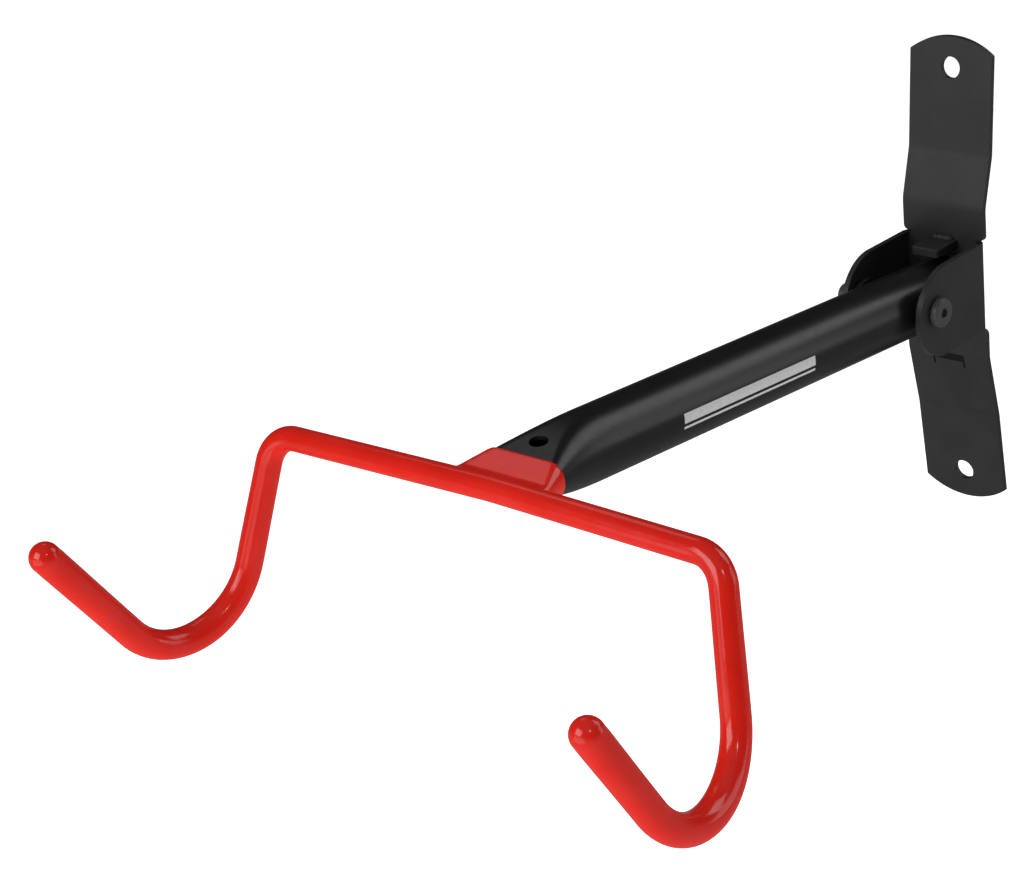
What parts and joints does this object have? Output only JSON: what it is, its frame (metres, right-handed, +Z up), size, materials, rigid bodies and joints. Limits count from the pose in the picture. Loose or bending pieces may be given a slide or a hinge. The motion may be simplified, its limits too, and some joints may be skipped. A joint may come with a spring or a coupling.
{
  "type": "bicycle wall rack",
  "caption": "Folding wall rack for a bicycle: a stamped bracket, a tube arm on a pivot bolt, and a bent rod with two soft-coated upturned hooks.",
  "frame": {"origin": "on the wall plane, behind the middle of the arm's pivot bolt", "axes": "X along the wall and along the pivot bolt, +Y into the wall, +Z up; the arm reaches out along -Y"},
  "size_m": [0.2685, 0.4162, 0.2112],
  "materials": {
    "bracket_paint": "dark grey powder coat",
    "arm_paint": "satin black powder coat",
    "bolt_black": "black oxide",
    "black_nylon": "moulded black nylon",
    "steel": "bare steel",
    "soft_red": "glossy dipped soft vinyl"
  },
  "bodies": {
    "bracket": {"wall_bracket": "bracket_paint", "stop_tab": "bracket_paint", "tab_weld": "bracket_paint", "pivot_bolt": "bolt_black", "pivot_nut": "bolt_black", "nut_lock_ring": "black_nylon", "nut_washer": "bolt_black", "pivot_sleeve": "steel", "side_washer_left": "black_nylon", "side_washer_right": "black_nylon"},
    "arm": {"arm_tube": "arm_paint", "hook_rod": "steel", "weld_bead_top": "steel", "weld_bead_bottom": "steel", "arm_end_coating": "soft_red", "left_hook_coating": "soft_red", "right_hook_coating": "soft_red"}
  },
  "joints": [
    {"name": "arm_fold", "type": "hinge", "parent": "bracket", "child": "arm", "pos_m": [0, -0.0497, 0], "axis": [-1, 0, 0], "range_deg": [0, 95]}
  ]
}
